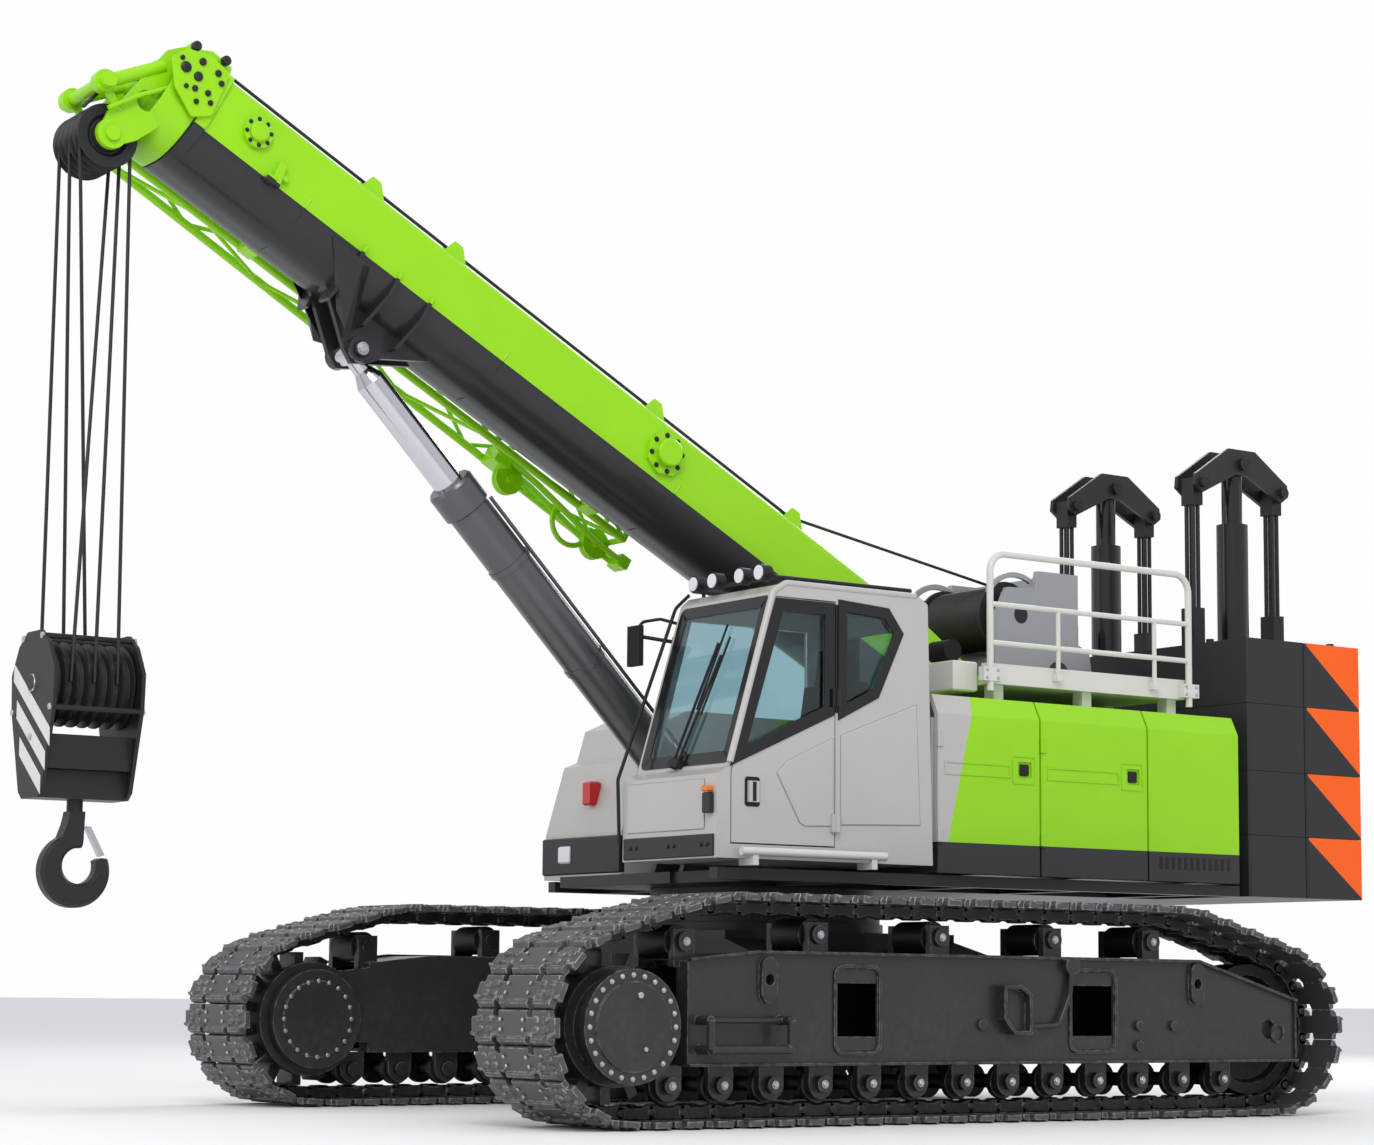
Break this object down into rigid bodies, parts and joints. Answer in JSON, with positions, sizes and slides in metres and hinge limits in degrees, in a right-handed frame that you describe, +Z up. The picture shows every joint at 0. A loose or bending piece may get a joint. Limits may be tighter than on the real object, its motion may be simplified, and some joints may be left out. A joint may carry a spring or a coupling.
{
  "type": "crawler crane",
  "caption": "Telescopic-boom crane on two tracks, with side cab, luffing cylinder, hook block, winch, side-stowed lattice jib and stacked counterweight.",
  "frame": {"origin": "on the ground under the middle of the whole machine's length and width, boom included", "axes": "+Z up, -Y the way the cab and boom face, +X the machine's left side, where the cab is"},
  "size_m": [4.45, 9.125, 6.1469],
  "materials": {
    "lime_paint": "gloss",
    "charcoal_paint": "satin",
    "cab_grey_paint": "satin",
    "off_white_paint": "satin",
    "track_steel": "worn matte",
    "dark_steel": "satin",
    "chrome_rod": "polished",
    "window_glass": "clear",
    "seat_fabric": "woven",
    "black_plastic": "grained",
    "wire_rope": "oiled",
    "light_grey_steel": "machined"
  },
  "bodies": {
    "undercarriage": {"left_track": "track_steel", "left_track_frame": "charcoal_paint", "left_drive_wheel": "charcoal_paint", "left_idler": "dark_steel", "left_rollers": "dark_steel", "right_track": "track_steel", "right_track_frame": "charcoal_paint", "right_drive_wheel": "charcoal_paint", "right_idler": "dark_steel", "right_rollers": "dark_steel", "carbody": "charcoal_paint", "slew_ring_lower": "dark_steel"},
    "upper_machine": {"slew_ring_upper": "charcoal_paint", "deck_frame": "charcoal_paint", "boom_and_cylinder_pins": "dark_steel", "winch_frame": "charcoal_paint", "cab_shell": "cab_grey_paint", "cab_glass": "window_glass", "cab_seat": "seat_fabric", "cab_consoles": "black_plastic", "cab_step_rail": "off_white_paint", "roof_lamp_rack": "dark_steel", "cab_mirror": "dark_steel", "front_housing": "cab_grey_paint", "left_house_frame": "lime_paint", "right_house_frame": "lime_paint", "engine": "dark_steel", "walkway": "off_white_paint", "handrail": "off_white_paint", "counterweight_row_1": "charcoal_paint", "counterweight_row_2": "charcoal_paint", "counterweight_row_3": "charcoal_paint", "counterweight_row_4": "charcoal_paint", "counterweight_cylinders": "dark_steel", "counterweight_crossbeams": "charcoal_paint", "counterweight_hangers": "dark_steel"},
    "boom": {"boom_base": "lime_paint", "fly_jib": "lime_paint"},
    "boom_section_2": {"boom_section_2": "lime_paint"},
    "boom_section_3": {"boom_section_3": "lime_paint"},
    "boom_section_4": {"boom_section_4": "lime_paint"},
    "head_sheaves": {"head_sheaves": "dark_steel"},
    "luff_barrel": {"luff_cylinder_barrel": "dark_steel"},
    "luff_rod": {"luff_cylinder_rod": "chrome_rod"},
    "hook_block": {"hook_block": "charcoal_paint", "hoist_rope_falls": "wire_rope"},
    "block_sheaves": {"hook_block_sheaves": "dark_steel"},
    "hook": {"hook": "dark_steel", "hook_latch": "light_grey_steel"},
    "winch_drum": {"winch_drum": "charcoal_paint"},
    "cab_door": {"cab_door": "cab_grey_paint", "door_glass": "window_glass"},
    "left_front_door": {"left_front_door": "lime_paint"},
    "left_middle_door": {"left_middle_door": "lime_paint"},
    "right_front_door": {"right_front_door": "lime_paint"},
    "right_middle_door": {"right_middle_door": "lime_paint"}
  },
  "joints": [
    {"name": "slew", "type": "hinge", "parent": "undercarriage", "child": "upper_machine", "pos_m": [0, 0.484, 1.29], "axis": [0, 0, 1], "continuous": true},
    {"name": "boom_luff", "type": "hinge", "parent": "upper_machine", "child": "boom", "pos_m": [0, 1.634, 2.55], "axis": [-1, 0, 0], "range_deg": [-10, 49.7]},
    {"name": "telescope_2", "type": "slide", "parent": "boom", "child": "boom_section_2", "axis": [0, -0.8805, 0.4741], "range_m": [0, 4.8]},
    {"name": "telescope_3", "type": "slide", "parent": "boom_section_2", "child": "boom_section_3", "axis": [0, -0.8805, 0.4741], "range_m": [0, 4.8]},
    {"name": "telescope_4", "type": "slide", "parent": "boom_section_3", "child": "boom_section_4", "axis": [0, -0.8805, 0.4741], "range_m": [0, 4.8]},
    {"name": "head_sheaves_spin", "type": "hinge", "parent": "boom_section_4", "child": "head_sheaves", "pos_m": [0, -4.27298, 5.54319], "axis": [1, 0, 0], "continuous": true},
    {"name": "hook_hang", "type": "hinge", "parent": "boom_section_4", "child": "hook_block", "pos_m": [0, -4.27298, 5.54319], "axis": [-1, 0, 0], "range_deg": [-46.32, 9.4]},
    {"name": "block_sheaves_spin", "type": "hinge", "parent": "hook_block", "child": "block_sheaves", "pos_m": [0, -4.27298, 2.42], "axis": [0, 1, 0], "continuous": true},
    {"name": "hook_swivel", "type": "hinge", "parent": "hook_block", "child": "hook", "pos_m": [0, -4.27298, 1.8], "axis": [0, 0, 1], "continuous": true},
    {"name": "luff_cylinder_swing", "type": "hinge", "parent": "upper_machine", "child": "luff_barrel", "pos_m": [0, 0.149, 1.72], "axis": [-1, 0, 0], "range_deg": [-9.59, 47.25]},
    {"name": "luff_rod_slide", "type": "slide", "parent": "luff_barrel", "child": "luff_rod", "axis": [0, -0.7005, 0.7137], "range_m": [-0.287, 1.417]},
    {"name": "winch_spin", "type": "hinge", "parent": "upper_machine", "child": "winch_drum", "pos_m": [0, 2.289, 3.29], "axis": [1, 0, 0], "continuous": true},
    {"name": "cab_door_hinge", "type": "hinge", "parent": "upper_machine", "child": "cab_door", "pos_m": [1.522, -0.076, 2.2], "axis": [0, 0, 1], "range_deg": [0, 140]},
    {"name": "left_front_door_hinge", "type": "hinge", "parent": "upper_machine", "child": "left_front_door", "pos_m": [1.506, 0.718, 2], "axis": [0, 0, -1], "range_deg": [0, 95]},
    {"name": "left_middle_door_hinge", "type": "hinge", "parent": "upper_machine", "child": "left_middle_door", "pos_m": [1.506, 1.558, 2], "axis": [0, 0, -1], "range_deg": [0, 95]},
    {"name": "right_front_door_hinge", "type": "hinge", "parent": "upper_machine", "child": "right_front_door", "pos_m": [-1.506, 0.718, 2], "axis": [0, 0, 1], "range_deg": [0, 95]},
    {"name": "right_middle_door_hinge", "type": "hinge", "parent": "upper_machine", "child": "right_middle_door", "pos_m": [-1.506, 1.558, 2], "axis": [0, 0, 1], "range_deg": [0, 95]}
  ],
  "couplings": [
    {"joint": "telescope_3", "follows": "telescope_2", "ratio": 1},
    {"joint": "telescope_4", "follows": "telescope_2", "ratio": 1},
    {"joint": "hook_hang", "follows": "boom_luff", "ratio": -0.93},
    {"joint": "luff_cylinder_swing", "follows": "boom_luff", "ratio": 0.94869},
    {"joint": "luff_rod_slide", "follows": "boom_luff", "m_per_rad": 1.6315}
  ]
}
